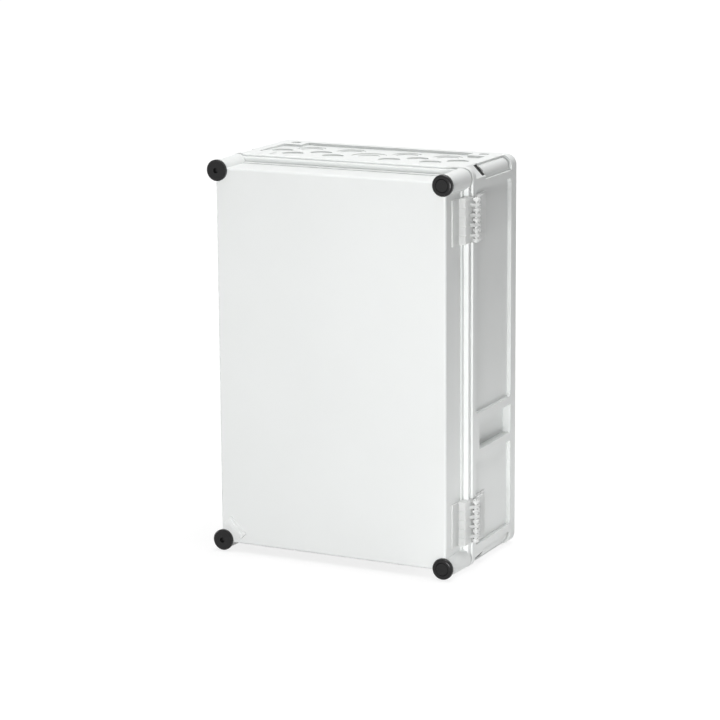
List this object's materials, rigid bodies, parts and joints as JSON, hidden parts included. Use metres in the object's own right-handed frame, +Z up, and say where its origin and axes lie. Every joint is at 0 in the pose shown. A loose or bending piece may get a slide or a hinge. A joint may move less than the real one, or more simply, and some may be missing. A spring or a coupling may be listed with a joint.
{
  "type": "electrical enclosure",
  "caption": "Rectangular insulated electrical enclosure with a hinged lid, key-turned corner locks, sealed rim, knock-out end walls and an inner mounting plate.",
  "frame": {"origin": "centre of the back face, in the plane of the wall, at the middle of the four wall fixing holes", "axes": "+Z up along the long side, +X to the hinge side, +Y into the wall; the lid faces -Y"},
  "size_m": [0.3075, 0.1748, 0.45],
  "materials": {
    "base_plastic": "satin moulded light grey",
    "lid_plastic": "satin moulded very light grey",
    "hinge_plastic": "natural milky moulded",
    "tab_plastic": "natural milky moulded",
    "black_plastic": "fine satin black",
    "keeper_plastic": "black moulded",
    "seal_rubber": "soft dark foam",
    "plate_steel": "zinc plated sheet",
    "screw_steel": "zinc plated",
    "insert_brass": "turned brass",
    "bushing_plastic": "dark grey moulded",
    "bolt_steel": "zinc plated",
    "clip_steel": "spring steel",
    "pin_plastic": "natural milky moulded"
  },
  "bodies": {
    "base": {"base_shell": "base_plastic", "hinge_base_leaf_lower": "hinge_plastic", "hinge_base_leaf_upper": "hinge_plastic", "hinge_pin_lower": "pin_plastic", "hinge_pin_upper": "pin_plastic", "keeper_bottom_left": "keeper_plastic", "keeper_bottom_right": "keeper_plastic", "keeper_top_left": "keeper_plastic", "keeper_top_right": "keeper_plastic", "lid_gasket": "seal_rubber", "mounting_plate": "plate_steel", "mounting_plate_screws": "screw_steel", "threaded_inserts": "insert_brass"},
    "lid": {"lid_shell": "lid_plastic", "sealing_tab": "tab_plastic", "lock_bushing_bottom_left": "bushing_plastic", "lock_bushing_top_left": "bushing_plastic", "blind_cap_bottom_right": "black_plastic", "blind_cap_top_right": "black_plastic", "hinge_lid_leaf_lower": "hinge_plastic", "hinge_lid_leaf_upper": "hinge_plastic"},
    "lock_top_left": {"lock_knob_top_left": "black_plastic", "lock_bolt_top_left": "bolt_steel", "lock_seal_ring_top_left": "seal_rubber", "lock_retaining_clip_top_left": "clip_steel"},
    "lock_bottom_left": {"lock_knob_bottom_left": "black_plastic", "lock_bolt_bottom_left": "bolt_steel", "lock_seal_ring_bottom_left": "seal_rubber", "lock_retaining_clip_bottom_left": "clip_steel"}
  },
  "joints": [
    {"name": "lid_hinge", "type": "hinge", "parent": "base", "child": "lid", "pos_m": [0.154, -0.12, 0], "axis": [0, 0, 1], "range_deg": [0, 120]},
    {"name": "lock_turn_top_left", "type": "hinge", "parent": "lid", "child": "lock_top_left", "pos_m": [-0.1375, -0.17, 0.2125], "axis": [0, 1, 0], "range_deg": [0, 90]},
    {"name": "lock_turn_bottom_left", "type": "hinge", "parent": "lid", "child": "lock_bottom_left", "pos_m": [-0.1375, -0.17, -0.2125], "axis": [0, 1, 0], "range_deg": [0, 90]}
  ]
}
